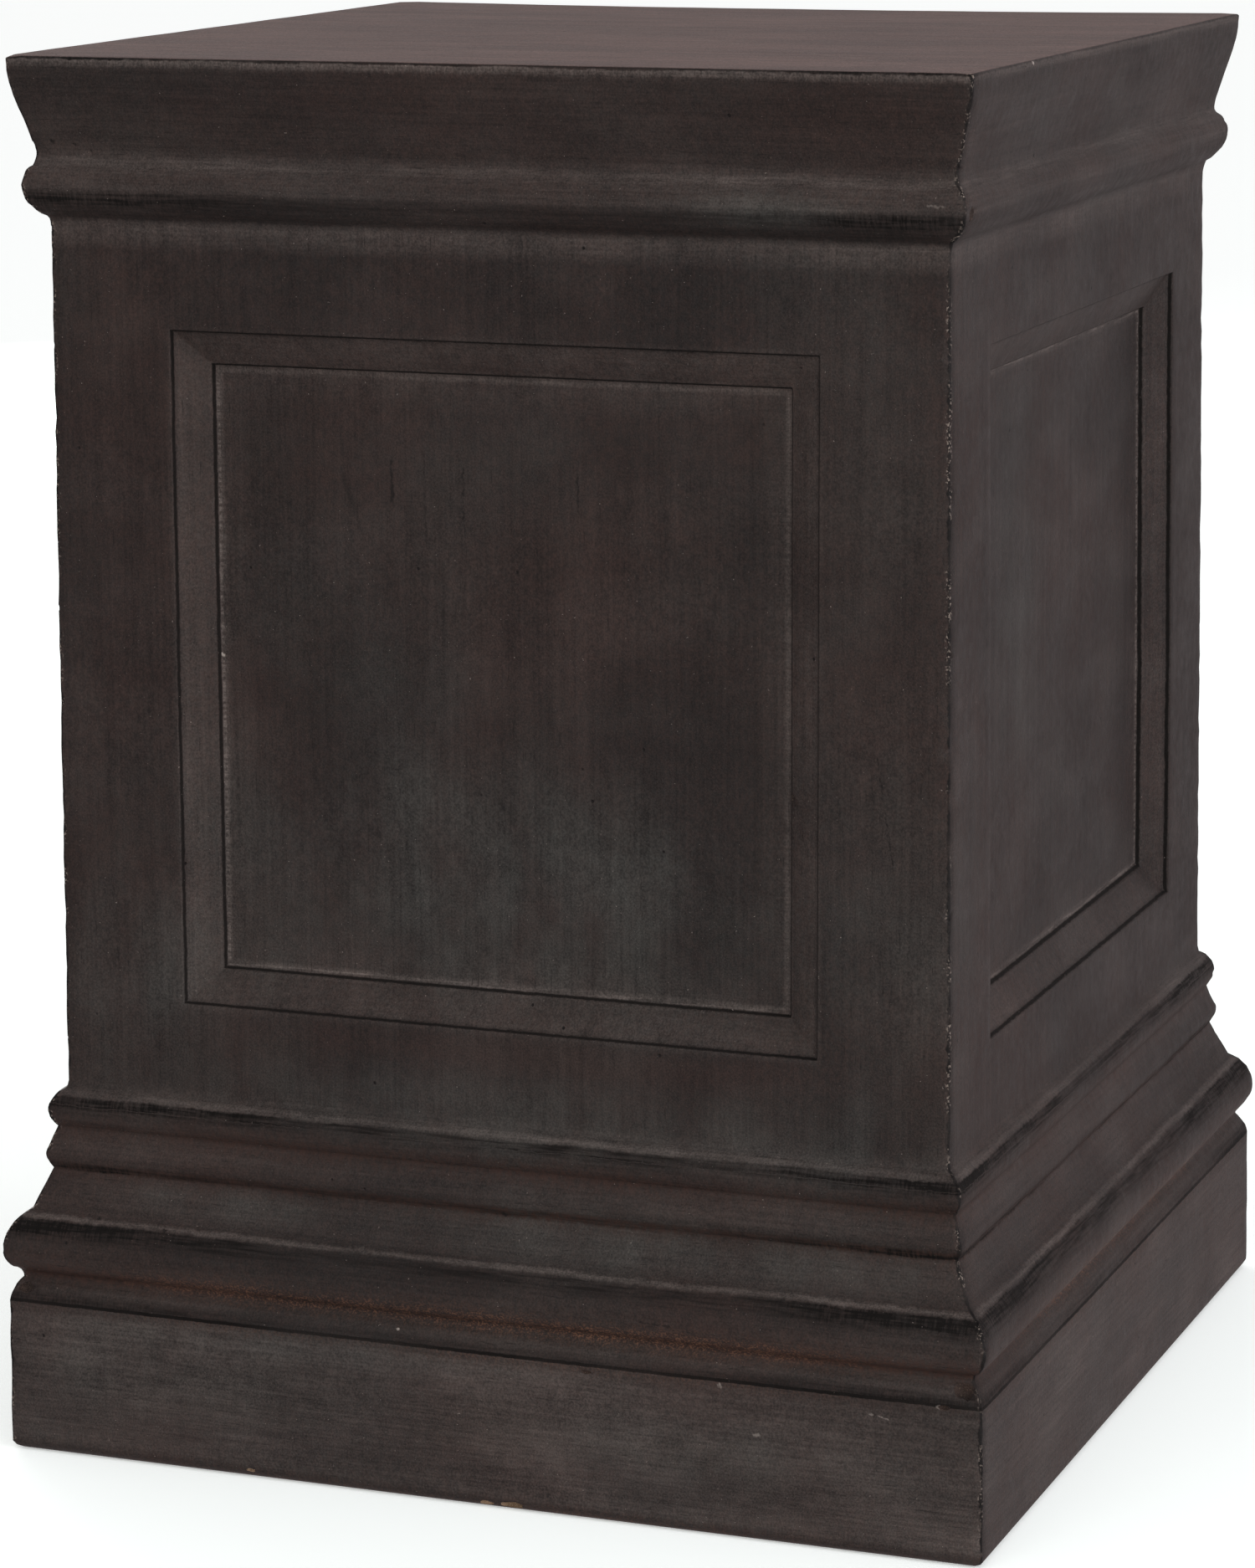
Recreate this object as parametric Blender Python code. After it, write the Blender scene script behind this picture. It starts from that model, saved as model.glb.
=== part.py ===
"""Square garden plinth: a moulded base, a shaft with a sunk panel on each side, and a flared cap.

Metres, +Z up. The origin is on the ground under the middle of the plinth, and its front faces -Y.
The plinth is cast in one piece. It is a hollow shell, closed on top and open underneath.

A section is a list of (reach, level) points up the middle of one side: reach is the distance out
from the plinth's axis, and level is the height above the ground. Swept round the square plan, each
point becomes a square loop, so the mouldings meet at mitred corners.
"""
from math import asin, cos, pi, sin

import bmesh
import bpy
from mathutils import Matrix, Vector

# Overall height, and the shaft's width at its foot and under the cap
HEIGHT = 0.7620
SHAFT_FOOT_WIDTH = 0.5048
SHAFT_HEAD_WIDTH = 0.4976

# Shell
WALL = 0.0150
CAP_THICKNESS = 0.0200

# Base block: how far it stands out from the shaft's foot, and its height up to its arris
BLOCK_PROJECTION = 0.0272
BLOCK_HEIGHT = 0.0855
BLOCK_BATTER = 0.0009
GROUND_ROUNDING = 0.0070

# Rounded shoulder on the block, up to the crevice under the big torus, and the cove above that
SHOULDER_HEIGHT = 0.0128
SHOULDER_BULGE = 0.0012
CREVICE_PROJECTION = 0.0203
COVE_HEIGHT = 0.0032
COVE_DEPTH = 0.0010

# Big torus
TORUS_PROJECTION = 0.0286
TORUS_LOWER_HEIGHT = 0.0130
TORUS_UPPER_HEIGHT = 0.0223

# Sloping band above the torus, up to its nick
BAND_FOOT_PROJECTION = 0.0159
BAND_HEIGHT = 0.0207
NICK_PROJECTION = 0.0069

# Ovolo above the nick, and the slope that runs in behind it
OVOLO_PROJECTION = 0.0098
OVOLO_LOWER_HEIGHT = 0.0085
OVOLO_UPPER_HEIGHT = 0.0036
OVOLO_UPPER_PROJECTION = 0.0089
SLOPE_HEIGHT = 0.0110
HOLLOW_PROJECTION = 0.0050

# Small torus at the shaft's foot, with a fillet where the shaft stands on it
SMALL_TORUS_PROJECTION = 0.0085
SMALL_TORUS_LOWER_HEIGHT = 0.0094
SMALL_TORUS_UPPER_HEIGHT = 0.0130
FOOT_FILLET_HEIGHT = 0.0030
FOOT_FILLET_PROJECTION = 0.0007

# Cap, from the top down: the edge of the top, the lip, the straight flare and the hollow under it
TOP_EDGE_ROUNDING = 0.0020
LIP_PROJECTION = 0.0159
LIP_HEIGHT = 0.0190
LIP_ROLL = 0.0027
FLARE_HEIGHT = 0.0250
FLARE_FOOT_PROJECTION = 0.0063
HOLLOW_UPPER_HEIGHT = 0.0061
HOLLOW_LOWER_HEIGHT = 0.0048
FLARE_HOLLOW_PROJECTION = 0.0051

# Necking bead under the flare, with a fillet where the shaft meets it
BEAD_PROJECTION = 0.0114
BEAD_TOP_PROJECTION = 0.0068
BEAD_UPPER_HEIGHT = 0.0110
BEAD_LOWER_HEIGHT = 0.0172
NECK_FILLET_HEIGHT = 0.0060
NECK_FILLET_PROJECTION = 0.0014

# Sunk panel: the plain margin round it on the shaft's face, then a step down, a sloping band and
# a second step down to the flat field
PANEL_SIDE_MARGIN = 0.0686
PANEL_TOP_MARGIN = 0.0518
PANEL_FOOT_MARGIN = 0.0486
PANEL_STEP = 0.0036
PANEL_BAND_WIDTH = 0.0166
PANEL_BAND_FALL = 0.0082
PANEL_FIELD_STEP = 0.0036
PANEL_DRAFT = 0.0016

# Points on each rounded stretch of a moulding, and on each small rounding or fillet
ARC_STEPS = 8
FILLET_STEPS = 4
# Rounded stretches that are flat enough to need fewer points
SHALLOW_STEPS = 6

SIDES = 4
CORNERS = ((-1, -1), (1, -1), (1, 1), (-1, 1))

FOOT_REACH = SHAFT_FOOT_WIDTH / 2
HEAD_REACH = SHAFT_HEAD_WIDTH / 2


def on_foot(projection):
    """Reach of a base moulding that stands out that far from the shaft's foot."""
    return FOOT_REACH + projection


def on_head(projection):
    """Reach of a cap moulding that stands out that far from the shaft's head."""
    return HEAD_REACH + projection


def upright_arc(upright, other, steps):
    """Points after upright, as far as other, on the arc that is vertical at its upright end."""
    across, rise = other[0] - upright[0], other[1] - upright[1]
    radius = (across**2 + rise**2) / (2 * across)
    turn = asin(min(1.0, abs(rise / radius))) * (1 if rise > 0 else -1)
    points = []
    for step in range(1, steps + 1):
        angle = turn * step / steps
        reach = upright[0] + radius * (1 - cos(angle))
        points.append((reach, upright[1] + abs(radius) * sin(angle)))
    return points


def swell(start, crest, end, steps=ARC_STEPS):
    """A torus or bead: an arc out to its upright crest and another one back in, with both ends."""
    outwards = [start] + upright_arc(crest, start, steps)[::-1][1:] + [crest]
    return outwards + upright_arc(crest, end, steps)


def bulged_arc(start, end, bulge, steps):
    """Points after start, as far as end, on the arc that swells outwards by bulge."""
    start, end = Vector(start), Vector(end)
    along = (end - start).normalized()
    outwards = Vector((along.y, -along.x))
    half_chord = (end - start).length / 2
    radius = (half_chord**2 + bulge**2) / (2 * bulge)
    centre = (start + end) / 2 + outwards * (bulge - radius)
    half_turn = asin(half_chord / radius)
    angles = (half_turn * (2 * step / steps - 1) for step in range(1, steps + 1))
    return [tuple(centre + radius * (outwards * cos(a) + along * sin(a))) for a in angles]


def base_section():
    """The base's outline, from the edge that stands on the ground up to the shaft's foot."""
    block = on_foot(BLOCK_PROJECTION)
    points = [(block - GROUND_ROUNDING, 0.0)]
    for step in range(1, FILLET_STEPS + 1):
        angle = pi / 2 * step / FILLET_STEPS
        out, up = GROUND_ROUNDING * sin(angle), GROUND_ROUNDING * (1 - cos(angle))
        points.append((block - GROUND_ROUNDING + out, up))

    arris = (block - BLOCK_BATTER, BLOCK_HEIGHT)
    crevice = (on_foot(CREVICE_PROJECTION), BLOCK_HEIGHT + SHOULDER_HEIGHT)
    points += [arris] + bulged_arc(arris, crevice, SHOULDER_BULGE, SHALLOW_STEPS)

    cove = (crevice[0] + COVE_DEPTH, crevice[1] + COVE_HEIGHT)
    crest = (on_foot(TORUS_PROJECTION), cove[1] + TORUS_LOWER_HEIGHT)
    band_foot = (on_foot(BAND_FOOT_PROJECTION), crest[1] + TORUS_UPPER_HEIGHT)
    points += upright_arc(crevice, cove, FILLET_STEPS)
    points += swell(cove, crest, band_foot)[1:]

    nick = (on_foot(NICK_PROJECTION), band_foot[1] + BAND_HEIGHT)
    crest = (on_foot(OVOLO_PROJECTION), nick[1] + OVOLO_LOWER_HEIGHT)
    slope_foot = (on_foot(OVOLO_UPPER_PROJECTION), crest[1] + OVOLO_UPPER_HEIGHT)
    points += swell(nick, crest, slope_foot, SHALLOW_STEPS)

    hollow = (on_foot(HOLLOW_PROJECTION), slope_foot[1] + SLOPE_HEIGHT)
    crest = (on_foot(SMALL_TORUS_PROJECTION), hollow[1] + SMALL_TORUS_LOWER_HEIGHT)
    fillet = (on_foot(FOOT_FILLET_PROJECTION), crest[1] + SMALL_TORUS_UPPER_HEIGHT)
    points += swell(hollow, crest, fillet)

    points.append((FOOT_REACH, fillet[1] + FOOT_FILLET_HEIGHT))
    return points


def cap_section():
    """The cap's outline, from the shaft's head up to the edge of the flat top."""
    lip = (on_head(LIP_PROJECTION), HEIGHT - TOP_EDGE_ROUNDING)
    roll = (on_head(LIP_PROJECTION - LIP_ROLL), lip[1] - LIP_HEIGHT)
    flare_foot = (on_head(FLARE_FOOT_PROJECTION), roll[1] - FLARE_HEIGHT)
    hollow = (on_head(FLARE_HOLLOW_PROJECTION), flare_foot[1] - HOLLOW_UPPER_HEIGHT)
    bead_top = (on_head(BEAD_TOP_PROJECTION), hollow[1] - HOLLOW_LOWER_HEIGHT)
    crest = (on_head(BEAD_PROJECTION), bead_top[1] - BEAD_UPPER_HEIGHT)
    neck = (on_head(NECK_FILLET_PROJECTION), crest[1] - BEAD_LOWER_HEIGHT)

    shaft_head = (HEAD_REACH, neck[1] - NECK_FILLET_HEIGHT)
    points = [shaft_head] + upright_arc(shaft_head, neck, FILLET_STEPS)[:-1]
    points += swell(neck, crest, bead_top)
    points += upright_arc(hollow, bead_top, FILLET_STEPS)[::-1][1:] + [hollow]
    points += upright_arc(hollow, flare_foot, FILLET_STEPS)
    points += upright_arc(lip, roll, SHALLOW_STEPS)[::-1] + [lip]
    for step in range(1, FILLET_STEPS + 1):
        angle = pi / 2 * step / FILLET_STEPS
        back, up = TOP_EDGE_ROUNDING * (1 - cos(angle)), TOP_EDGE_ROUNDING * sin(angle)
        points.append((lip[0] - back, lip[1] + up))
    return points


def add_loop(mesh, reach, level):
    """Four vertices of the square loop for one point of a section, from the front left corner."""
    return [mesh.verts.new((x * reach, y * reach, level)) for x, y in CORNERS]


def join_loops(mesh, lower, upper):
    """A quad on each side between two square loops."""
    for side in range(SIDES):
        after = (side + 1) % SIDES
        mesh.faces.new((lower[side], lower[after], upper[after], upper[side]))


def sweep(mesh, section):
    """Joins the square loops of a section, and returns the first and the last of them."""
    loops = [add_loop(mesh, reach, level) for reach, level in section]
    for lower, upper in zip(loops, loops[1:]):
        join_loops(mesh, lower, upper)
    return loops[0], loops[-1]


def panelled_sides(mesh, lower, upper, margins, steps):
    """Fills the sides between two loops, each with rectangles nested in it.

    margins are the first rectangle's distances from the side's edges: (side, foot, top).
    steps give each rectangle as (inset from the first one, depth behind the face).
    """
    foot, head = lower[1].co.copy(), upper[1].co.copy()
    margin_side, margin_foot, margin_top = margins
    for side in range(SIDES):
        turn = Matrix.Rotation(side * pi / 2, 4, "Z")
        next_side = (side + 1) % SIDES
        ring = [lower[side], lower[next_side], upper[next_side], upper[side]]
        for inset, depth in steps:
            half_width = head.x - margin_side - inset
            low, high = foot.z + margin_foot + inset, head.z - margin_top - inset
            inner = []
            for across, level in ((-1, low), (1, low), (1, high), (-1, high)):
                reach = foot.x + (head.x - foot.x) * (level - foot.z) / (head.z - foot.z)
                inner.append(mesh.verts.new(turn @ Vector((across * half_width, depth - reach, level))))
            for corner in range(SIDES):
                after = (corner + 1) % SIDES
                mesh.faces.new((ring[corner], ring[after], inner[after], inner[corner]))
            ring = inner
        mesh.faces.new(ring)


def outer_panel_steps():
    """The sunk panel seen from outside: step, sloping band with mitres, step and flat field."""
    inner_arris = PANEL_DRAFT + PANEL_BAND_WIDTH
    arris_depth = PANEL_STEP + PANEL_BAND_FALL
    return (
        (0.0, 0.0),
        (PANEL_DRAFT, PANEL_STEP),
        (inner_arris, arris_depth),
        (inner_arris + PANEL_DRAFT, arris_depth + PANEL_FIELD_STEP),
    )


def make_plinth():
    """The whole shell: the outside from the ground to the top, then the cavity back down."""
    mesh = bmesh.new()
    base, cap = base_section(), cap_section()
    outer_rim, shaft_foot = sweep(mesh, base)
    shaft_head, top_edge = sweep(mesh, cap)
    margins = (PANEL_SIDE_MARGIN, PANEL_FOOT_MARGIN, PANEL_TOP_MARGIN)
    panelled_sides(mesh, shaft_foot, shaft_head, margins, outer_panel_steps())
    mesh.faces.new(top_edge)

    # The cavity's walls run parallel to the shaft's faces right up to the underside of the top.
    foot_level, head_level = base[-1][1], cap[0][1]
    ceiling_level = HEIGHT - CAP_THICKNESS
    taper = (HEAD_REACH - FOOT_REACH) / (head_level - foot_level)
    ceiling_reach = FOOT_REACH + taper * (ceiling_level - foot_level) - WALL
    chamber_reach = on_foot(BLOCK_PROJECTION) - WALL
    inner_rim, cavity_foot = sweep(mesh, [
        (chamber_reach, 0.0),
        (chamber_reach, BLOCK_HEIGHT - WALL),
        (FOOT_REACH - WALL, foot_level),
    ])
    ceiling = add_loop(mesh, ceiling_reach, ceiling_level)

    # Behind each panel the wall keeps its thickness, so the panel stands into the cavity as a boss.
    relief = PANEL_STEP + PANEL_BAND_FALL + PANEL_FIELD_STEP
    panel_half_width = HEAD_REACH - PANEL_SIDE_MARGIN
    boss_margins = (
        ceiling_reach - panel_half_width - WALL / 2,
        PANEL_FOOT_MARGIN - WALL / 2,
        PANEL_TOP_MARGIN - WALL / 2 + ceiling_level - head_level,
    )
    boss_steps = ((0.0, 0.0), (PANEL_BAND_WIDTH, relief))
    panelled_sides(mesh, cavity_foot, ceiling, boss_margins, boss_steps)
    mesh.faces.new(ceiling)
    join_loops(mesh, outer_rim, inner_rim)

    bmesh.ops.recalc_face_normals(mesh, faces=mesh.faces)
    data = bpy.data.meshes.new("plinth")
    mesh.to_mesh(data)
    mesh.free()
    return data


def clay_material():
    """Fibre-reinforced clay under a dark lead-coloured paint wash."""
    material = bpy.data.materials.new("washed_clay")
    material.use_nodes = True
    shader = material.node_tree.nodes["Principled BSDF"]
    shader.inputs["Base Color"].default_value = (0.030, 0.026, 0.025, 1.0)
    shader.inputs["Roughness"].default_value = 0.62
    shader.inputs["Metallic"].default_value = 0.0
    return material


def main():
    for thing in list(bpy.data.objects):
        bpy.data.objects.remove(thing)
    plinth = bpy.data.objects.new("plinth", make_plinth())
    bpy.context.scene.collection.objects.link(plinth)
    plinth.data.materials.append(clay_material())


main()
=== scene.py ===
# %% [markdown]
# A garden plinth in washed fibre clay.
#
# The real plinth is cast in one piece from clay bound with resin and glass fibre. It is painted to
# look like old lead: a brown-black coat, brushed on, with blue-grey washes, dust and a little rust
# in the hollows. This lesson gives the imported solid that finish. It first sets up the camera and
# the light, then works the casting's surface, and last builds the paint.

# %% Load the frame
import math
import random

import bmesh
import bpy
from mathutils import Matrix, Vector, noise


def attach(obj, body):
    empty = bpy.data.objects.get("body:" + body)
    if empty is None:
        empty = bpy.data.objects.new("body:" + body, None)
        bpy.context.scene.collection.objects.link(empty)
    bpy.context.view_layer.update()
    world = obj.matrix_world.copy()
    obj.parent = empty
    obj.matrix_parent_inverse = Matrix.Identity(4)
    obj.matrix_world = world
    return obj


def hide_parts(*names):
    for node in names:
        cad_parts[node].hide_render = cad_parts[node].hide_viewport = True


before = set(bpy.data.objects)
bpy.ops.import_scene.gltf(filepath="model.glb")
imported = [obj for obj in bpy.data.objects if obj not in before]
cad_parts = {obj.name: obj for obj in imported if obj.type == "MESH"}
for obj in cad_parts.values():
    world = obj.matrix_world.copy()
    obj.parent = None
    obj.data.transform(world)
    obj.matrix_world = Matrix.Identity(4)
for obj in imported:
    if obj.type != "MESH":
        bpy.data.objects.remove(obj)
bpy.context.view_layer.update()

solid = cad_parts["plinth"]
MM = 0.001

# %% [markdown]
# The camera stands where the photograph was taken from. Its place and its turns were worked out
# from the mitred corners of the mouldings, which all lie on one square plan. The focal length is
# given in the photograph's pixels, so it is turned into millimetres on a 36 mm frame, whose long
# side is the picture's height.

# %% Camera
PHOTO_WIDTH, PHOTO_HEIGHT = 1500, 1874
FOCAL_LENGTH_PX = 6062.44
CAMERA_PLACE = Vector((0.99034, -2.64605, 0.93207))
CAMERA_TURN, CAMERA_TILT, CAMERA_ROLL = (math.radians(a) for a in (20.8842, -11.8703, -0.3898))

camera_data = bpy.data.cameras.new("photo_camera")
camera_data.sensor_fit = "AUTO"
camera_data.sensor_width = 36.0
camera_data.lens = FOCAL_LENGTH_PX / PHOTO_HEIGHT * camera_data.sensor_width
camera = bpy.data.objects.new("photo_camera", camera_data)
bpy.context.scene.collection.objects.link(camera)
camera.matrix_world = (
    Matrix.Translation(CAMERA_PLACE)
    @ Matrix.Rotation(CAMERA_TURN, 4, "Z")
    @ Matrix.Rotation(math.pi / 2 + CAMERA_TILT, 4, "X")
    @ Matrix.Rotation(CAMERA_ROLL, 4, "Z")
)
bpy.context.scene.camera = camera
print("lens", round(camera_data.lens, 1), "mm")

# %% [markdown]
# Three helpers come first. Painters write colours as sRGB hex codes, but shaders calculate in linear
# light, so one function turns them. The second adds a node with its settings and links in one call,
# and the third adds a lamp.

# %% Helpers for colours, nodes and lamps
def srgb(code):
    """A hex colour, as painters write it, in the linear values that shaders take."""
    parts = [int(code[i:i + 2], 16) / 255 for i in (1, 3, 5)]
    return tuple(p / 12.92 if p <= 0.04045 else ((p + 0.055) / 1.055) ** 2.4 for p in parts) + (1.0,)


def add_node(tree, kind, links=None, **settings):
    """Adds a node. links holds, for each input, a value, or the output or node that feeds it."""
    node = tree.nodes.new(kind)
    for name, value in settings.items():
        setattr(node, name, value)
    for socket, value in (links or {}).items():
        if isinstance(value, bpy.types.Node):
            value = next(output for output in value.outputs if output.enabled)
        if isinstance(value, bpy.types.NodeSocket):
            tree.links.new(value, node.inputs[socket])
        else:
            node.inputs[socket].default_value = value
    return node


def add_light(name, kind, place, aim, power, **settings):
    """Adds a lamp at a place, aimed at a point and not seen itself."""
    data = bpy.data.lights.new(name, kind)
    data.energy = power
    for setting, value in settings.items():
        setattr(data, setting, value)
    lamp = bpy.data.objects.new(name, data)
    bpy.context.scene.collection.objects.link(lamp)
    lamp.location = place
    lamp.rotation_euler = (Vector(aim) - Vector(place)).to_track_quat("-Z", "Y").to_euler()
    lamp.visible_camera = False


print("white is", srgb("#ffffff"))

# %% [markdown]
# The photograph was taken in soft light from all round: the top is lightest, the right side is half
# as light, the front is darker, and what leans outwards under the lip is darkest. So most of the
# light is a pale even sky, which the right side mirrors at its grazing angle. Panels on the right
# and in front add a little, and a weak, very wide lamp shines down. Such a pale floor would throw
# much light up on the dark paint, which the photograph doesn't show, so the floor is kept from
# lighting the casting.

# %% Floor
FLOOR_SIZE = 60.0
bpy.ops.object.select_all(action="DESELECT")
bpy.ops.mesh.primitive_plane_add(size=FLOOR_SIZE, location=(0, 0, 0))
floor = bpy.context.object
floor.name = "studio_floor"
floor_paint = bpy.data.materials.new("pale_floor_paint")
floor_paint.use_nodes = True
floor_shader = floor_paint.node_tree.nodes["Principled BSDF"]
floor_shader.inputs["Base Color"].default_value = srgb("#ecfaf8")
floor_shader.inputs["Roughness"].default_value = 0.9
# A little light from below, as on a light table, lifts the paper to the photograph's white
floor_shader.inputs["Emission Color"].default_value = srgb("#ffffff")
floor_shader.inputs["Emission Strength"].default_value = 0.32
floor.data.materials.append(floor_paint)
floor.visible_diffuse = floor.visible_glossy = False
print("floor", FLOOR_SIZE, "m wide")

# %% [markdown]
# The lamps' powers are in watts, and the lamp overhead, a sun, has its strength instead. Its angle of
# 110 degrees makes it as soft as an overcast sky.

# %% Lamps and sky
WARM_WHITE, COOL_WHITE = (1.0, 0.96, 0.90), (1.0, 0.93, 0.98)
MIDDLE_OF_SHAFT = (0.0, 0.0, 0.4)
add_light("overhead", "SUN", (0.1, 0.35, 3.0), (0.0, 0.0, 0.0), 0.2, angle=math.radians(110))
add_light("right_panel", "AREA", (3.9, -1.05, 1.5), MIDDLE_OF_SHAFT, 68, size=1.6, color=COOL_WHITE)
add_light("high_front_panel", "AREA", (-0.2, -3.9, 3.0), MIDDLE_OF_SHAFT, 30, size=2.4, color=WARM_WHITE)
add_light(
    "low_front_panel", "AREA", (1.1, -1.9, 0.25), (0.1, -0.28, 0.1), 18, size=1.2, color=(1.0, 0.97, 0.90)
)
# Unseen in the photograph's view, this one lights the two sides that the view doesn't show
add_light("back_panel", "AREA", (-3.4, 3.4, 0.9), MIDDLE_OF_SHAFT, 60, size=1.6, color=(1.0, 0.96, 0.93))

world = bpy.data.worlds.new("studio_sky")
world.use_nodes = True
world.node_tree.nodes["Background"].inputs["Color"].default_value = srgb("#fcf0f1")
world.node_tree.nodes["Background"].inputs["Strength"].default_value = 0.70
bpy.context.scene.world = world
bpy.context.scene.view_settings.view_transform = "Standard"
print("lamps", [light.name for light in bpy.data.lights])

# %% [markdown]
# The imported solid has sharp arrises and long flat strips, and it is left alone. A copy of it is
# merged and its triangles are joined to quads again. Then the strips are cut into a grid that can
# carry dents and waves, and the arrises are softened with bevels, as on any casting. The
# alternative, a voxel remesh, would round everything alike and need millions of faces.

# %% Copy the solid and join its triangles
PAINTED, RAW, WEATHERED = 0, 1, 2


def copy_solid(node, name):
    """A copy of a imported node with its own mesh, merged, and with its quads back."""
    piece = node.copy()
    piece.data = node.data.copy()
    piece.name = piece.data.name = name
    piece.parent = None
    for key in list(piece.keys()):
        del piece[key]
    bpy.context.scene.collection.objects.link(piece)
    bpy.ops.object.select_all(action="DESELECT")
    piece.select_set(True)
    bpy.context.view_layer.objects.active = piece
    bpy.ops.object.mode_set(mode="EDIT")
    bpy.ops.mesh.select_all(action="SELECT")
    bpy.ops.mesh.remove_doubles(threshold=0.01 * MM)
    bpy.ops.mesh.tris_convert_to_quads(face_threshold=math.radians(0.5), shape_threshold=math.pi)
    bpy.ops.object.mode_set(mode="OBJECT")
    return piece


def pick(kind, wanted):
    """Selects, in edit mode, the faces or edges for which wanted says yes. Returns how many."""
    mesh = bmesh.from_edit_mesh(bpy.context.object.data)
    bpy.context.tool_settings.mesh_select_mode = (False, kind == "edges", kind == "faces")
    for item in list(mesh.faces) + list(mesh.edges) + list(mesh.verts):
        item.select = False
    chosen = [item for item in getattr(mesh, kind) if wanted(item)]
    for item in chosen:
        item.select_set(True)
    mesh.select_flush_mode()
    bmesh.update_edit_mesh(bpy.context.object.data)
    return len(chosen)


def looks_out(face):
    """True for a face with open air beside it, and false for the cavity and the rim below."""
    start = face.calc_center_median() + face.normal * 0.1 * MM
    sideways = Vector((start.x, 0, 0)) if abs(start.x) > abs(start.y) else Vector((0, start.y, 0))
    hits_wall = solid.ray_cast(start, sideways.normalized())[0]
    return not hits_wall and face.normal.z > -0.99


casting = copy_solid(solid, "plinth_casting")
casting.data.materials.clear()
for slot_name in ("brushed_lead_wash_on_fibre_clay", "raw_fibre_clay", "weathered_fibre_clay"):
    casting.data.materials.append(bpy.data.materials.new(slot_name))
bpy.ops.object.mode_set(mode="EDIT")
print("outside faces", pick("faces", looks_out))
mesh = bmesh.from_edit_mesh(casting.data)
for face in mesh.faces:
    face.material_index = PAINTED if face.select else RAW
bmesh.update_edit_mesh(casting.data)
bpy.ops.object.mode_set(mode="OBJECT")
print("quads", len(casting.data.polygons))

# %% [markdown]
# The grid comes first, while every face is still a plain quad. Subdividing all the long edges at
# once turns each strip into one row of cells, and the strips that are still wide are then cut
# across in groups of like width. A cell ends up about 8 mm across, which is fine enough for a
# hand-finished wave in the surface.

# %% Cut the outside into a grid
# Shortest and longest edge of each group, in mm, and how many cuts it gets
CUTS = ((300, 1000, 59), (45, 100, 8), (24, 45, 3), (17, 24, 2), (10, 17, 1))


def outside_edge(edge):
    """True where both faces of an edge belong to the painted outside."""
    return all(face.material_index == PAINTED for face in edge.link_faces)


def edges_between(shortest, longest):
    """A test for the outside's edges whose length is between two limits."""
    def within(edge):
        return shortest <= edge.calc_length() < longest and outside_edge(edge)
    return within


bpy.ops.object.mode_set(mode="EDIT")
for shortest, longest, cuts in CUTS:
    found = pick("edges", edges_between(shortest * MM, longest * MM))
    bpy.ops.mesh.subdivide(number_cuts=cuts)
    print(found, "edges of", shortest, "to", longest, "mm cut", cuts, "times")
bpy.ops.object.mode_set(mode="OBJECT")
print("grid of", len(casting.data.polygons), "faces")

# %% [markdown]
# The mitres next. Every edge up a corner of the plan lies where x and y are equally far out, so
# they are found by place, and one bevel rounds the whole corner from the ground to the top. The
# arrises of the block and of the panels' steps are then softened a little less.

# %% Soften the mitres and the arrises
MITRE_SOFTNESS = 1.5 * MM
ARRIS_SOFTNESS = 0.7 * MM
BLOCK_ARRIS = 85.5 * MM
SHARP = math.radians(20)


def on_mitre(point):
    """True for a point right on a corner of the square plan."""
    return abs(abs(point.x) - abs(point.y)) < 0.05 * MM and abs(point.x) > 240 * MM


def mitre_edge(edge):
    ends = [vertex.co for vertex in edge.verts]
    rises = abs(ends[0].z - ends[1].z) > 0.01 * MM
    return rises and all(on_mitre(end) for end in ends) and outside_edge(edge)


def panel_or_block_arris(edge):
    """The level arris of the block, and the arrises and feet of the steps round each panel."""
    middle = (edge.verts[0].co + edge.verts[1].co) / 2
    in_panel = 230 * MM < middle.z < 640 * MM and min(abs(middle.x), abs(middle.y)) < 190 * MM
    on_block = abs(middle.z - BLOCK_ARRIS) < 0.1 * MM
    return (in_panel or on_block) and outside_edge(edge) and edge.calc_face_angle(0.0) > SHARP


bpy.ops.object.mode_set(mode="EDIT")
print("mitre edges", pick("edges", mitre_edge))
bpy.ops.mesh.bevel(offset=MITRE_SOFTNESS, segments=3, profile=0.5, clamp_overlap=True)
print("arrises", pick("edges", panel_or_block_arris))
bpy.ops.mesh.bevel(offset=ARRIS_SOFTNESS, segments=2, profile=0.5, clamp_overlap=True)
bpy.ops.object.mode_set(mode="OBJECT")
print("after the bevels", len(casting.data.polygons), "faces")

# %% [markdown]
# Nothing on the real casting is quite straight. Its faces were rubbed down by hand, the mouldings
# wander a little, the corners are ragged where the mould's halves met, and the back edge of the top
# sags. All of it is well under two millimetres, so the vertices are moved in code with smooth
# noise, and only inwards, so that the piece keeps its size.

# %% Wander of the hand-finished surface
SAG_OF_BACK_EDGE = 1.4 * MM
LIP_REACH = 264.5 * MM


def ripple(place, wavelength, seed):
    """Smooth noise from 0 to 1 with a wavelength in metres, another for each seed."""
    shifted = place / wavelength + Vector((7.3, 3.1, 11.9)) * seed
    return min(1.0, max(0.0, 0.5 + 0.6 * noise.noise(shifted)))


def ease(value, start, end):
    """0 before start, 1 after end, and smooth between."""
    part = min(1.0, max(0.0, (value - start) / (end - start)))
    return part * part * (3 - 2 * part)


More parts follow.
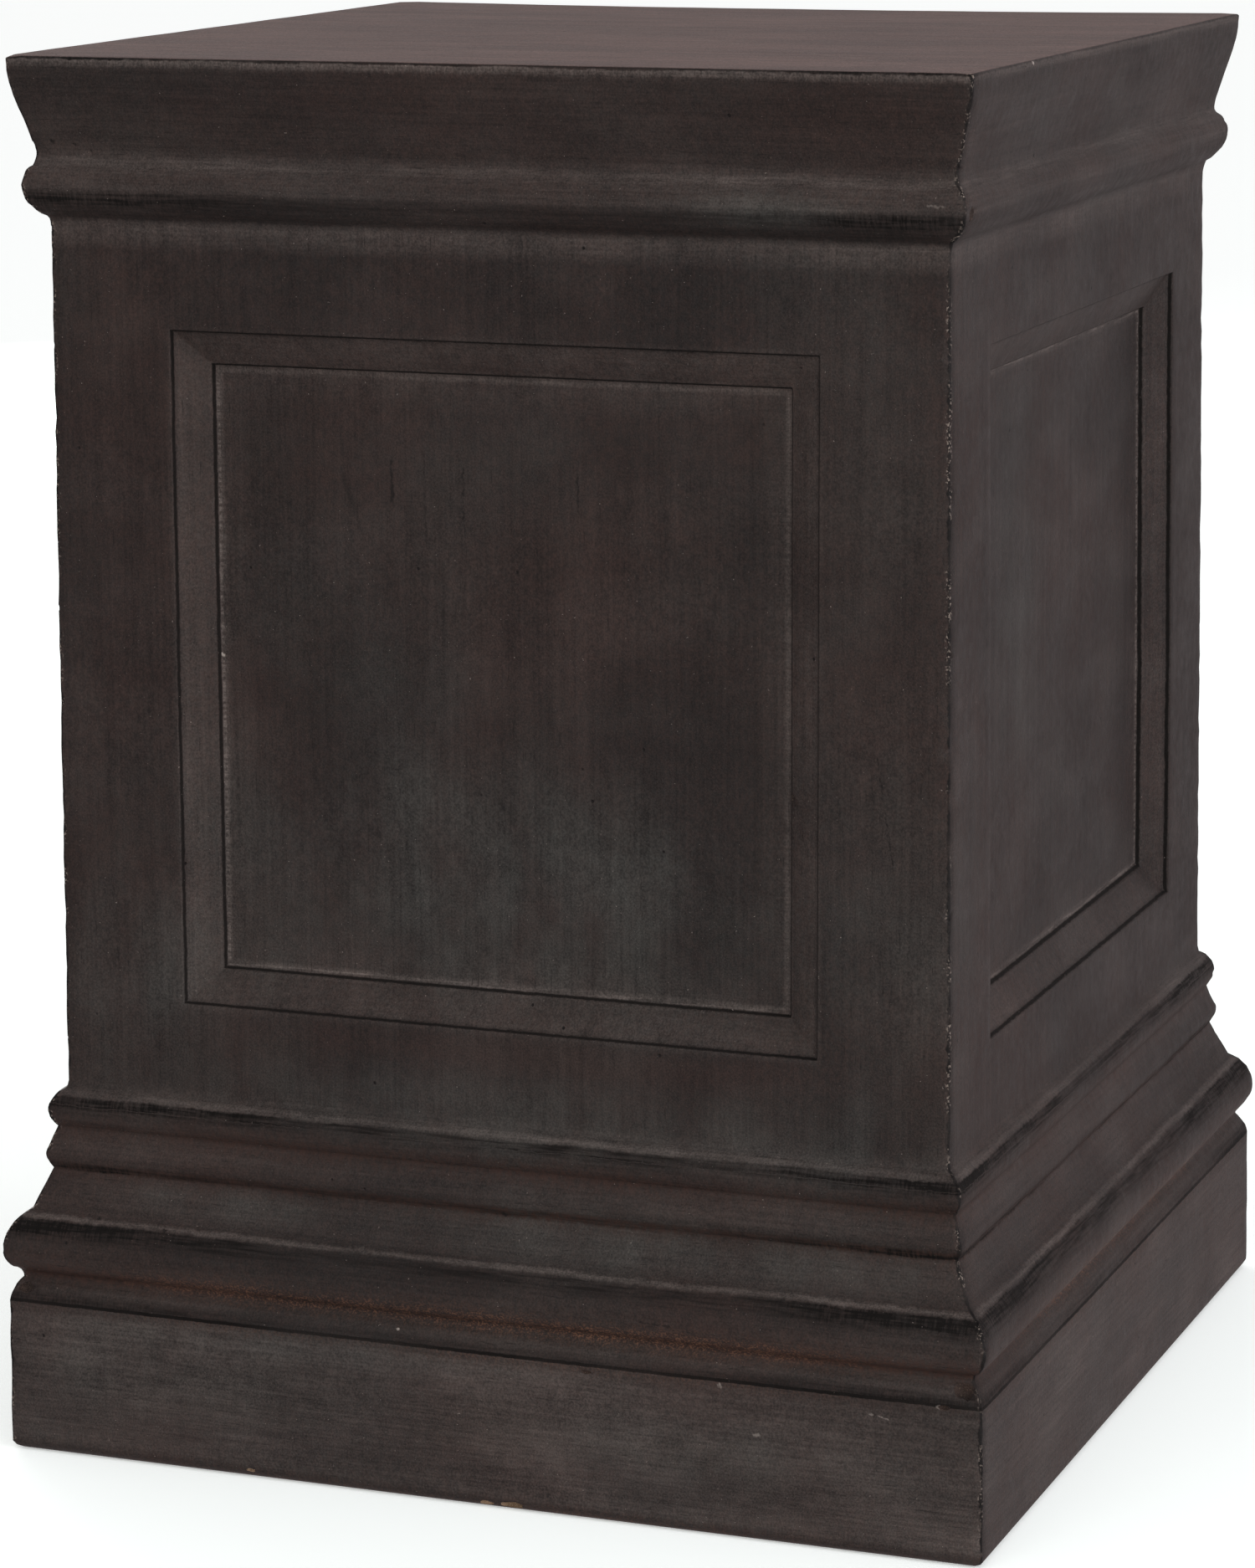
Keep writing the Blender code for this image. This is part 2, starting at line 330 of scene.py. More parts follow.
painted_points = {
    index for face in casting.data.polygons if face.material_index == PAINTED for index in face.vertices
}
moves = []
for index in painted_points:
    vertex = casting.data.vertices[index]
    place, level = vertex.co.copy(), vertex.co.z
    foot = ease(level, 2 * MM, 9 * MM)
    off_mitre = abs(abs(place.x) - abs(place.y))
    corner = (1 - ease(off_mitre, 1.0 * MM, 5 * MM)) * (max(abs(place.x), abs(place.y)) > 240 * MM)
    push = 0.40 * ripple(place, 160 * MM, 1) + 0.20 * ripple(place, 45 * MM, 2)
    push += corner * (1.4 * ripple(place, 4.5 * MM, 3) ** 3 + 0.6 * ripple(place, 16 * MM, 4) ** 2)
    shift = -vertex.normal * push * foot * MM
    in_base = ease(level, 40 * MM, 86 * MM) * (1 - ease(level, 206 * MM, 230 * MM))
    in_cap = ease(level, 655 * MM, 680 * MM) * (1 - ease(level, 740 * MM, 756 * MM))
    wander = ripple(Vector((place.x, place.y, 0)), 130 * MM, 5) - 0.5
    shift.z += 1.2 * MM * wander * (in_base + in_cap)
    middle = 1 - (place.x / LIP_REACH) ** 2
    at_back = ease(place.y, 60 * MM, LIP_REACH) * ease(level, 700 * MM, 760 * MM)
    shift.z -= SAG_OF_BACK_EDGE * max(0.0, middle) * at_back
    moves.append((vertex, shift))
for vertex, shift in moves:
    vertex.co += shift
print("points moved", len(moves), "at most", round(max(s.length for v, s in moves) / MM, 2), "mm")

# %% [markdown]
# A cast plinth chips where it is knocked: along its bottom edge and at its corners. The chips that
# the photograph shows are placed by their pixel: a ray from the camera through the pixel meets the
# solid there. On the sides that it doesn't show, rays go in level, at a chosen height.

# %% Find a spot on the solid
def surface_at(pixel):
    """The point of the solid that a pixel of the photograph shows."""
    right = (pixel[0] - PHOTO_WIDTH / 2) / FOCAL_LENGTH_PX
    up = (PHOTO_HEIGHT / 2 - pixel[1]) / FOCAL_LENGTH_PX
    aim = camera.matrix_world.to_3x3() @ Vector((right, up, -1.0))
    return solid.ray_cast(CAMERA_PLACE, aim.normalized())[1]


def wall_at(turn, along_mm, level_mm):
    """The point of the solid at a level and a distance along a side. turn 0 is the front."""
    quarter = Matrix.Rotation(math.radians(90 * turn), 3, "Z")
    start = quarter @ Vector((along_mm * MM, -1.0, level_mm * MM))
    return solid.ray_cast(start, quarter @ Vector((0, 1, 0)))[1]


def corner_at(turn, level_mm):
    """The point of the solid's corner at a level. turn 0 is the front right corner."""
    quarter = Matrix.Rotation(math.radians(90 * turn), 3, "Z")
    start = quarter @ Vector((0.6, -0.6, level_mm * MM))
    return solid.ray_cast(start, quarter @ Vector((-1, 1, 0)).normalized())[1]


print("front corner at 100 mm:", [round(c / MM, 1) for c in corner_at(0, 100)])

# %% [markdown]
# Fresh chips show pale raw clay, and old ones are brown with dirt. Small nicks make the corners
# ragged all the way up. The dice have a fixed seed, so every run gives the same plinth, and a nick
# keeps clear of the chips, because overlapping lumps can tear a Boolean's result.

# %% Where it is chipped
NICK_SPACING_MM, NICK_SIZES_MM = 17, (0.8, 1.0, 1.3, 1.8)
CLEAR_OF_CHIPS = 10 * MM
UNSEEN_CHIPS_A_SIDE, HALF_SIDE_MM = 4, 250
# Pixel of the middle and radii in mm
FRESH_CHIPS = (
    ((613, 1799), (7.0, 3.0, 2.6)), ((582, 1796), (4.0, 2.4, 1.6)), ((1190, 1858), (2.5, 2.5, 2.0)),
    ((1316, 1706), (3.5, 6.0, 3.4)), ((760, 1822), (2.2, 2.0, 1.2)), ((300, 1757), (2.6, 2.0, 1.2)),
)
OLD_CHIPS = (
    ((1152, 1662), (5.5, 4.5, 5.5)), ((1128, 1683), (3.2, 2.6, 1.8)), ((946, 956), (1.6, 2.0, 3.6)),
    ((32, 1538), (5.0, 3.5, 3.5)), ((1162, 257), (2.6, 3.2, 3.4)), ((700, 1640), (3.0, 1.6, 1.2)),
)
dice = random.Random(11)
fresh = [(surface_at(pixel), radii) for pixel, radii in FRESH_CHIPS]
old = [(surface_at(pixel), radii) for pixel, radii in OLD_CHIPS]
nicks = []
for turn in range(4):
    for level_mm in range(12, 760, NICK_SPACING_MM):
        size = dice.choice(NICK_SIZES_MM)
        spot = corner_at(turn, level_mm + dice.uniform(-5, 5))
        if all((spot - chip).length > CLEAR_OF_CHIPS for chip, radii in fresh + old):
            nicks.append((spot, (size, size, size * dice.uniform(0.8, 2.4))))
    if turn > 1:
        for count in range(UNSEEN_CHIPS_A_SIDE):
            spot = wall_at(turn, dice.uniform(-HALF_SIDE_MM, HALF_SIDE_MM), 1.0)
            fresh.append((spot, (dice.uniform(2, 6), dice.uniform(2, 3), dice.uniform(1, 2.6))))
print("fresh chips", len(fresh), "old chips", len(old), "nicks", len(nicks))

# %% [markdown]
# Each chip is bitten out by a rough lump, which is a sphere pushed in and out by noise, and a
# Boolean modifier subtracts all the lumps of a kind at once. The lump's material is carried over to
# the wall that it leaves. A Boolean leaves slivers a few hundredths of a millimetre long, so they
# are merged, and any hole is filled: the print shows that no edge stays open.

# %% Bite the chips out
ROUGHNESS_OF_LUMPS = 0.45
SLIVER, SLIVER_WIDTH = 0.03 * MM, 0.02 * MM


def bite(name, spots, material_slot):
    """Subtracts a rough lump at each spot from the casting."""
    bpy.ops.object.select_all(action="DESELECT")
    lumps = []
    for count, (middle, radii) in enumerate(spots):
        bpy.ops.mesh.primitive_ico_sphere_add(subdivisions=2, radius=1.0, location=(0, 0, 0))
        lump = bpy.context.object
        for vertex in lump.data.vertices:
            bump = noise.noise(vertex.co * 1.6 + Vector((count * 5.1, material_slot, 0)))
            swell = 1.0 + ROUGHNESS_OF_LUMPS * bump
            vertex.co = middle + Vector(c * r * MM for c, r in zip(vertex.co * swell, radii))
        lumps.append(lump)
    for lump in lumps:
        lump.select_set(True)
    bpy.ops.object.join()
    cutter = bpy.context.object
    cutter.data.materials.clear()
    for material in casting.data.materials:
        cutter.data.materials.append(material)
    for face in cutter.data.polygons:
        face.material_index = material_slot
    bpy.ops.object.select_all(action="DESELECT")
    casting.select_set(True)
    bpy.context.view_layer.objects.active = casting
    worn = casting.modifiers.new(name, "BOOLEAN")
    worn.operation, worn.solver, worn.object = "DIFFERENCE", "EXACT", cutter
    worn.material_mode = "TRANSFER"
    bpy.ops.object.modifier_apply(modifier=name)
    bpy.data.objects.remove(cutter)
    bpy.ops.object.mode_set(mode="EDIT")
    bpy.context.tool_settings.mesh_select_mode = (True, False, False)
    bpy.ops.mesh.select_all(action="SELECT")
    bpy.ops.mesh.remove_doubles(threshold=SLIVER)
    bpy.ops.mesh.dissolve_degenerate(threshold=SLIVER_WIDTH)
    bpy.ops.mesh.select_all(action="DESELECT")
    bpy.ops.mesh.select_non_manifold()
    bpy.ops.mesh.fill_holes(sides=0)
    bpy.ops.object.mode_set(mode="OBJECT")
    worn_mesh = bmesh.new()
    worn_mesh.from_mesh(casting.data)
    open_edges = sum(not edge.is_manifold for edge in worn_mesh.edges)
    highest = max(vertex.co.z for vertex in worn_mesh.verts)
    worn_mesh.free()
    print(name, len(spots), "open edges", open_edges, "highest point", round(highest / MM, 2), "mm")


bite("fresh_chips", fresh, RAW)
bite("old_chips", old, WEATHERED)
bite("nicks", nicks, PAINTED)

# %% [markdown]
# The paint next. It copies old lead: a brown-black coat, brushed up and down on the shaft and
# along the mouldings, with blue-grey washes wiped over it. Its colours are all dark and close
# together, so the eye reads it by small things: the direction of the brush, dust in the hollows,
# soot-black undersides that also carry painted shade, painted highlights on the mouldings and a
# little rust. All patterns are three-dimensional and in real millimetres, so they need no
# unwrapping and run round the corners.

# %% Where a point lies on the plinth
MATH, MIX, RANGE, VECTOR = "ShaderNodeMath", "ShaderNodeMix", "ShaderNodeMapRange", "ShaderNodeVectorMath"

coat = casting.data.materials[PAINTED]
coat.use_nodes = True
tree = coat.node_tree
coat_shader = tree.nodes["Principled BSDF"]

object_place = add_node(tree, "ShaderNodeTexCoord").outputs["Object"]
place = add_node(tree, VECTOR, {0: object_place, "Scale": 1 / MM}, operation="SCALE")
axes = add_node(tree, "ShaderNodeSeparateXYZ", {0: place})
x_mm, y_mm, z_mm = axes.outputs
facing = add_node(
    tree, "ShaderNodeSeparateXYZ", {0: add_node(tree, "ShaderNodeNewGeometry").outputs["Normal"]}
)
# The flat top is one surface, so it isn't parted into four sides along its diagonals
NEAR_TOP_MM = 758.0
is_high = add_node(tree, MATH, {0: z_mm, 1: NEAR_TOP_MM}, operation="GREATER_THAN")
is_level = add_node(tree, RANGE, {"Value": facing.outputs["Z"], "From Min": 0.80, "From Max": 0.95})
on_top = add_node(tree, MATH, {0: is_high, 1: is_level}, operation="MULTIPLY")
off_top = add_node(tree, MATH, {0: 1.0, 1: on_top}, operation="SUBTRACT")
reach_x = add_node(tree, MATH, {0: x_mm}, operation="ABSOLUTE")
reach_y = add_node(tree, MATH, {0: y_mm}, operation="ABSOLUTE")
past_mitre = add_node(tree, MATH, {0: reach_x, 1: reach_y}, operation="GREATER_THAN")
on_x_side = add_node(tree, MATH, {0: past_mitre, 1: on_top}, operation="SUBTRACT", use_clamp=True)
# along runs level along a side, and outward out of it. run has them with the height, so a pattern
# that is long in its first direction follows the mouldings over every slope and over the top. The
# x sides' patterns start further on, so that they don't repeat those of the front
along = add_node(tree, MIX, {0: on_x_side, 2: x_mm, 3: y_mm})
outward = add_node(tree, MIX, {0: on_x_side, 2: y_mm, 3: x_mm})
APART_MM = 1370.0
own_along = add_node(tree, MATH, {0: on_x_side, 1: APART_MM, 2: along}, operation="MULTIPLY_ADD")
run = add_node(tree, "ShaderNodeCombineXYZ", {0: own_along, 1: z_mm, 2: outward})
print("nodes that find the place:", len(tree.nodes))

# %% [markdown]
# Every mark starts as the same thing: noise, stretched to the mark's real size and cut off between
# two values. Long and thin it is a brush's hairline, round and large a cloud in the wash, and as
# fine as a millimetre the grain of the clay. On the shaft the brush went up and down, and on the
# mouldings along them.

# %% Brush marks and clouds of colour
def blotches(tree, where, size, low, high, detail=2.0, least=0.0, most=1.0):
    """A pattern of soft blotches, size mm wide along the three axes of where.

    Noise below low gives least, and above high gives most.
    """
    scaled = add_node(tree, VECTOR, {0: where, 1: tuple(1 / s for s in size)}, operation="MULTIPLY")
    cloud = add_node(tree, "ShaderNodeTexNoise", {"Vector": scaled, "Scale": 1.0, "Detail": detail})
    return add_node(
        tree, RANGE,
        {"Value": cloud, "From Min": low, "From Max": high, "To Min": least, "To Max": most},
    )


def add_up(tree, total, parts):
    """total and each of the parts times its weight."""
    for part, weight in parts:
        total = add_node(tree, MATH, {0: part, 1: weight, 2: total}, operation="MULTIPLY_ADD")
    return total


# Levels in mm over which the brush's direction changes
SHAFT_FOOT_MM, SHAFT_HEAD_MM = (203.0, 209.0), (684.0, 672.0)
above_foot = add_node(
    tree, RANGE, {"Value": z_mm, "From Min": SHAFT_FOOT_MM[0], "From Max": SHAFT_FOOT_MM[1]}
)
below_head = add_node(
    tree, RANGE, {"Value": z_mm, "From Min": SHAFT_HEAD_MM[0], "From Max": SHAFT_HEAD_MM[1]}
)
on_shaft = add_node(tree, MATH, {0: above_foot, 1: below_head}, operation="MULTIPLY")
# A flat brush leaves hairlines some 2 mm apart, up to 90 mm long, in broader strokes
upright_hairs = blotches(tree, place, (2.0, 2.0, 95.0), 0.30, 0.70, 3.0)
upright_strokes = blotches(tree, place, (11.0, 11.0, 190.0), 0.32, 0.68)
level_hairs = blotches(tree, run, (70.0, 1.5, 1.5), 0.30, 0.70, 3.0)
level_strokes = blotches(tree, run, (150.0, 7.0, 7.0), 0.32, 0.68)
hairs = add_node(tree, MIX, {0: on_shaft, 2: level_hairs, 3: upright_hairs})
strokes = add_node(tree, MIX, {0: on_shaft, 2: level_strokes, 3: upright_strokes})
brown_cloud = blotches(tree, place, (150.0, 150.0, 190.0), 0.40, 0.60, 3.0)
blue_cloud = blotches(tree, place, (95.0, 95.0, 130.0), 0.50, 0.70, 4.0)
fine_mottle = blotches(tree, place, (6.0, 6.0, 7.0), 0.32, 0.68, 4.0)
upright_clouds = blotches(tree, place, (42.0, 42.0, 60.0), 0.36, 0.64, 6.0)
level_clouds = blotches(tree, run, (90.0, 30.0, 30.0), 0.36, 0.64, 6.0)
cloudy = add_node(tree, MIX, {0: on_shaft, 2: level_clouds, 3: upright_clouds})
scuffs = blotches(tree, run, (80.0, 38.0, 38.0), 0.44, 0.76, 8.0)
colour_grain = blotches(tree, place, (2.4, 2.4, 3.6), 0.38, 0.62, 3.0)
grain = blotches(tree, place, (1.0, 1.0, 1.1), 0.35, 0.65, 3.0)
print("nodes with the brush marks:", len(tree.nodes))

# %% [markdown]
# Some of the washes lie where the photograph shows them, such as the cool patch low on the panel.
# The spot is found by its pixel, as a chip's is, and the patch is a soft ellipsoid round it, so that
# it stays on the surface in every view.

# %% Patches placed from the photograph
# Pixel of the middle, radii in mm along the side and up it, and strength
COOL_PATCHES = (
    ((150, 1200), (60, 90), 0.3), ((250, 1090), (80, 130), 0.3), ((640, 1090), (150, 90), 0.65),
    ((560, 1330), (220, 30), 0.4), ((980, 1370), (90, 40), 0.3), ((900, 250), (60, 12), 0.5),
    ((1080, 1150), (60, 150), 0.25), ((1215, 760), (60, 150), 0.3), ((330, 700), (30, 60), 0.1),
    ((800, 1490), (200, 22), 0.45), ((250, 1440), (90, 12), 0.4), ((350, 1610), (160, 12), 0.35),
    ((860, 1740), (120, 24), 0.35), ((200, 1640), (120, 30), 0.3), ((480, 900), (60, 90), 0.3),
)
WARM_PATCHES = (
    ((640, 700), (110, 80), 0.5), ((430, 560), (80, 70), 0.4), ((700, 130), (260, 60), 0.3),
    ((250, 420), (110, 60), 0.3), ((700, 1270), (200, 12), 0.4), ((1060, 150), (90, 40), 0.4),
)


def placed_patches(tree, patches):
    """The sum of soft patches, each round the spot that its pixel shows."""
    total = None
    for pixel, (half_length, half_height), strength in patches:
        middle = surface_at(pixel) / MM
        offset = add_node(tree, VECTOR, {0: place, 1: tuple(middle)}, operation="SUBTRACT")
        radii = (half_length, half_length, half_height)
        scaled = add_node(tree, VECTOR, {0: offset, 1: radii}, operation="DIVIDE")
        far = add_node(tree, VECTOR, {0: scaled}, operation="LENGTH").outputs["Value"]
        patch = add_node(
            tree, RANGE, {"Value": far, "From Min": 1.15, "From Max": 0.2, "To Max": strength},
            interpolation_type="SMOOTHSTEP",
        )
        total = patch if total is None else add_node(tree, MATH, {0: total, 1: patch}, operation="ADD")
    return total


ragged_blue = blotches(tree, place, (28.0, 28.0, 60.0), 0.34, 0.62, 5.0, 0.25, 1.0)
placed_blue = add_node(
    tree, MATH, {0: placed_patches(tree, COOL_PATCHES), 1: ragged_blue}, operation="MULTIPLY"
)
faint_blue = add_up(tree, placed_blue, ((blue_cloud, 0.15),))
faint_blue = add_node(tree, MATH, {0: faint_blue, 1: off_top}, operation="MULTIPLY")
placed_brown = placed_patches(tree, WARM_PATCHES)
print("patches placed:", len(COOL_PATCHES) + len(WARM_PATCHES))

# %% [markdown]
# The plainest scratches, gouges and scuffs are placed in the same way, each as a stroke from one
# spot to another. The point that a stroke is measured from is shaken by noise first, which makes its
# edge ragged.

# %% Strokes placed from the photograph
# Pixels of both ends, half the width in mm, and strength
SCRATCHES = (
    ((467, 552), (469, 598), 0.9, 0.8), ((506, 540), (509, 640), 0.7, 0.5),
    ((553, 560), (553, 620), 0.6, 0.8), ((690, 570), (691, 610), 0.6, 0.7),
    ((1048, 905), (1067, 1035), 0.5, 0.8), ((640, 655), (655, 730), 0.5, 0.4),
    ((118, 1456), (119, 1457), 1.1, 0.9), ((140, 1467), (141, 1468), 1.0, 0.9),
    ((195, 1470), (197, 1471), 1.0, 0.8), ((62, 168), (63, 169), 1.0, 0.9),
    ((88, 172), (89, 173), 0.9, 0.9), ((108, 180), (109, 181), 0.9, 0.8),
    ((600, 1450), (604, 1452), 0.9, 0.8), ((760, 1580), (800, 1586), 0.6, 0.7),
    ((410, 570), (420, 600), 1.6, 0.35),
)
SCUFFS = (
    ((1164, 27), (1198, 28), 0.8, 0.55), ((475, 1588), (476, 1588), 0.8, 0.9),
    ((249, 31), (250, 31), 0.9, 0.8), ((1040, 1690), (1062, 1697), 0.5, 0.35),
    ((266, 781), (267, 782), 0.9, 0.9), ((1235, 75), (1236, 76), 1.0, 0.9),
    ((900, 1715), (906, 1716), 0.9, 0.35), ((1120, 1682), (1126, 1684), 1.0, 0.5),
    ((859, 1655), (860, 1658), 0.9, 0.5), ((1108, 246), (1130, 248), 0.7, 0.20),
)
SHAKE_MM = 3.0


def placed_strokes(tree, strokes):
    """The strongest of some thin strokes, each from one spot to another, with a ragged edge."""
    strongest = None
    for start_pixel, end_pixel, half_width, strength in strokes:
        start, end = surface_at(start_pixel) / MM, surface_at(end_pixel) / MM
        length = end - start
        offset = add_node(tree, VECTOR, {0: ragged_place, 1: tuple(start)}, operation="SUBTRACT")
        per_mm = tuple(length / max(length.length_squared, 0.01))
        reached = add_node(tree, VECTOR, {0: offset, 1: per_mm}, operation="DOT_PRODUCT")
        reached = reached.outputs["Value"]
        reached = add_node(tree, MATH, {0: reached, 1: 1.0}, operation="MULTIPLY", use_clamp=True)
        on_stroke = add_node(tree, VECTOR, {0: tuple(length), "Scale": reached}, operation="SCALE")
        off = add_node(tree, VECTOR, {0: offset, 1: on_stroke}, operation="DISTANCE").outputs["Value"]
        stroke = add_node(
            tree, RANGE,
            {"Value": off, "From Min": half_width * 1.3, "From Max": half_width * 0.5, "To Max": strength},
        )
        strongest = stroke if strongest is None else add_node(
            tree, MATH, {0: strongest, 1: stroke}, operation="MAXIMUM"
        )
    return strongest


ragged = add_node(tree, VECTOR, {0: place, 1: (0.45, 0.45, 0.30)}, operation="MULTIPLY")
ragged = add_node(tree, "ShaderNodeTexNoise", {"Vector": ragged, "Scale": 1.0, "Detail": 2.0})
ragged = add_node(
    tree, VECTOR, {0: ragged.outputs["Color"], 1: (0.5, 0.5, 0.5)}, operation="SUBTRACT"
)
ragged = add_node(tree, VECTOR, {0: ragged, "Scale": SHAKE_MM}, operation="SCALE")
ragged_place = add_node(tree, VECTOR, {0: place, 1: ragged}, operation="ADD")
placed_scratches = placed_strokes(tree, SCRATCHES)
placed_scuffs = placed_strokes(tree, SCUFFS)
print("strokes placed:", len(SCRATCHES) + len(SCUFFS))

# %% [markdown]
# Dust, soot and rust gather at the same height all round, so each is drawn as a ramp over the
# height. The same ramps also carry painted light: the pale lines on the tops of the toruses, the
# bead and the lip are painted highlights, and the soot under the mouldings and in the creases is
# partly painted shade. The levels were read off the photograph, moulding by moulding. A ramp has
# room for 32 stops, so the base, the shaft's foot and the cap have one each, and the panel's steps
# have a fourth that runs over the distance from the panel's edge. One colour carries all three
# amounts: red is dust with the painted highlights, green is soot with the painted shade and blue is
# rust. Beyond its ends a ramp keeps its last colour, so each begins and ends with nothing.

# %% Bands of dust, soot and rust
# Level above the ground in mm, then dust with painted highlights, soot with painted shade, and rust
BASE_BANDS = (
    (0, .03, 0, .4), (4, .03, 0, .1), (9, .16, 0, 0), (78, .15, 0, 0), (85, .08, .10, .2),
    (86.5, 0, .60, 0), (89, 0, .45, 0), (93, .10, .10, 0), (97, .05, 0, .25), (100, 0, 0, .80),
    (106, .03, 0, .75), (110, .05, 0, .25), (120, .02, .10, 0), (124, 0, .45, 0), (127, 0, .95, 0),
    (131, 0, 1, 0), (131.9, .10, .15, 0), (133, .34, 0, 0), (133.9, .28, 0, 0), (134.8, .05, .1, 0),
    (150, .04, 0, 0), (156.6, .04, 0, .25), (157.8, 0, .80, .9), (161, 0, .60, .7), (162.8, .03, .1, 0),
    (172, .06, 0, 0), (179, .03, 0, .4), (181, 0, .20, .7), (187, .03, .15, .3), (191.5, 0, .35, 0),
    (194, 0, 1, 0), (194.1, 0, 0, 0),
)
FOOT_BANDS = (
    (194, 0, 0, 0), (194.1, 0, 1, 0), (195, 0, 1, 0), (197.6, 0, .95, 0), (198.6, .15, .1, 0),
    (200.2, .24, 0, 0), (203, .05, 0, 0), (209, 0, 0, 0),
)
CAP_BANDS = (
    (660, 0, 0, 0), (666, .12, 0, 0), (673, .20, 0, 0), (675, .14, .1, 0), (677, 0, .3, 0),
    (683, 0, .4, 0), (687, 0, .8, 0), (690, .05, .6, 0), (693, .14, .1, 0), (699, .12, 0, .2),
    (702, .14, 0, .1), (705, .26, 0, 0), (707, .22, 0, 0), (710, .08, 0, 0), (715, .03, .1, 0),
    (740, 0, .15, 0), (754, 0, .2, 0), (756, .03, .1, 0), (758, .24, 0, 0), (760.2, .34, 0, 0),
    (760.9, 0, .8, 0), (762, 0, .8, 0),
)
# Distance inwards from the panel's outer edge in mm, then dust with painted highlights, soot with
# painted shade, and rust
PANEL_BANDS = (
    (-3, 0, 0, 0), (-1, .05, .1, 0), (1.6, .1, .1, 0), (3, .12, 0, .1), (16.5, .06, 0, .1),
    (21.5, .25, 0, 0), (24, .07, 0, 0), (40, 0, 0, 0),
)
PANEL_HALF_WIDTH, PANEL_LOW, PANEL_HIGH = 180.2, 254.6, 619.1

# The bands' edges wander a little, in mm, over a long and a short wave
long_wave = blotches(tree, run, (38.0, 300.0, 300.0), 0.3, 0.7, 2.0, -0.5, 0.5)
short_wave = blotches(tree, run, (4.0, 6.0, 6.0), 0.3, 0.7, 3.0, -0.4, 0.4)
waves = add_node(tree, MATH, {0: long_wave, 1: short_wave}, operation="ADD")
level = add_node(tree, MATH, {0: z_mm, 1: waves}, operation="ADD")
from_side = add_node(
    tree, MATH, {0: PANEL_HALF_WIDTH, 1: add_node(tree, MATH, {0: along}, operation="ABSOLUTE")},
    operation="SUBTRACT",
)
from_low = add_node(tree, MATH, {0: z_mm, 1: PANEL_LOW}, operation="SUBTRACT")
from_high = add_node(tree, MATH, {0: PANEL_HIGH, 1: z_mm}, operation="SUBTRACT")
from_end = add_node(tree, MATH, {0: from_low, 1: from_high}, operation="MINIMUM")
straight_into = add_node(tree, MATH, {0: from_side, 1: from_end}, operation="MINIMUM")
into_panel = add_node(tree, MATH, {0: straight_into, 1: short_wave}, operation="ADD")
gathered = None
for value, bands in (
    (level, BASE_BANDS), (level, FOOT_BANDS), (level, CAP_BANDS), (into_panel, PANEL_BANDS)
):
    lowest, highest = bands[0][0], bands[-1][0]
    part = add_node(tree, RANGE, {"Value": value, "From Min": lowest, "From Max": highest})
    ramp = add_node(tree, "ShaderNodeValToRGB", {0: part})
    stops = ramp.color_ramp.elements
    for count, (stop_level, dust, soot, rust) in enumerate(bands):
        share = (stop_level - lowest) / (highest - lowest)
        stop = stops[count] if count < 2 else stops.new(share)
        stop.position = share
        stop.color = (dust, soot, rust, 1.0)
    if gathered is None:
        gathered = ramp
    else:
        gathered = add_node(tree, VECTOR, {0: gathered, 1: ramp}, operation="ADD")
# Red is dust with painted highlights, green is soot with painted shade, blue is rust
dust_and_highlight_band, soot_and_shade_band, rust_band = add_node(tree, "ShaderNodeSeparateXYZ", {0: gathered}).outputs
print("stops in the bands:", len(BASE_BANDS), len(FOOT_BANDS), len(CAP_BANDS), len(PANEL_BANDS))

# %% [markdown]
# The mould's halves met at the corners, and there the wash has filled a ragged dark line with
# pale crumbs along it. Beside it, on the x side of each corner, a band of painted shade is added.
# Specks and pinholes are scattered over the whole casting.

# %% Seams, crumbs, specks and pinholes
hatch = blotches(tree, run, (1.2, 8.0, 8.0), 0.42, 0.60, 3.0)
smears = blotches(tree, run, (26.0, 1.8, 1.8), 0.40, 0.60, 5.0)
stretches = blotches(tree, run, (85.0, 60.0, 60.0), 0.36, 0.60, 2.0)
specks = blotches(tree, place, (1.2, 1.2, 1.2), 0.77, 0.82, 1.0)
level_scratches = blotches(tree, run, (10.0, 0.8, 0.8), 0.64, 0.72, 2.0)
upright_scratches = blotches(tree, place, (0.9, 0.9, 15.0), 0.66, 0.74, 2.0)
scratches = add_node(tree, MIX, {0: on_shaft, 2: level_scratches, 3: upright_scratches})
crumbs = blotches(tree, place, (1.2, 1.2, 1.6), 0.56, 0.62, 2.0)
crumb_groups = blotches(tree, place, (9.0, 9.0, 24.0), 0.46, 0.58, 2.0)

off_mitre = add_node(
    tree, MATH,
    {0: add_node(tree, MATH, {0: reach_x, 1: reach_y}, operation="SUBTRACT")}, operation="ABSOLUTE",
)
wobble = blotches(tree, place, (60.0, 60.0, 5.0), 0.3, 0.7, 4.0, -1.1, 1.1)
off_seam = add_node(
    tree, MATH,
    {0: add_node(tree, MATH, {0: off_mitre, 1: wobble}, operation="ADD")}, operation="ABSOLUTE",
)
near_seam = add_node(tree, RANGE, {"Value": off_seam, "From Min": 1.7, "From Max": 0.8})
by_seam = add_node(tree, RANGE, {"Value": off_seam, "From Min": 3.0, "From Max": 1.0})
to_corner = add_node(
    tree, RANGE, {"Value": off_mitre, "From Min": 190.0, "From Max": 15.0}, interpolation_type="SMOOTHSTEP"
)
seam_gaps = blotches(tree, place, (60.0, 60.0, 13.0), 0.36, 0.52, 3.0, 0.45, 1.0)
seam_and_corner_shade = add_node(
    tree, MATH,
    {0: add_node(tree, MATH, {0: near_seam, 1: seam_gaps}, operation="MULTIPLY"), 1: off_top},
    operation="MULTIPLY",
)
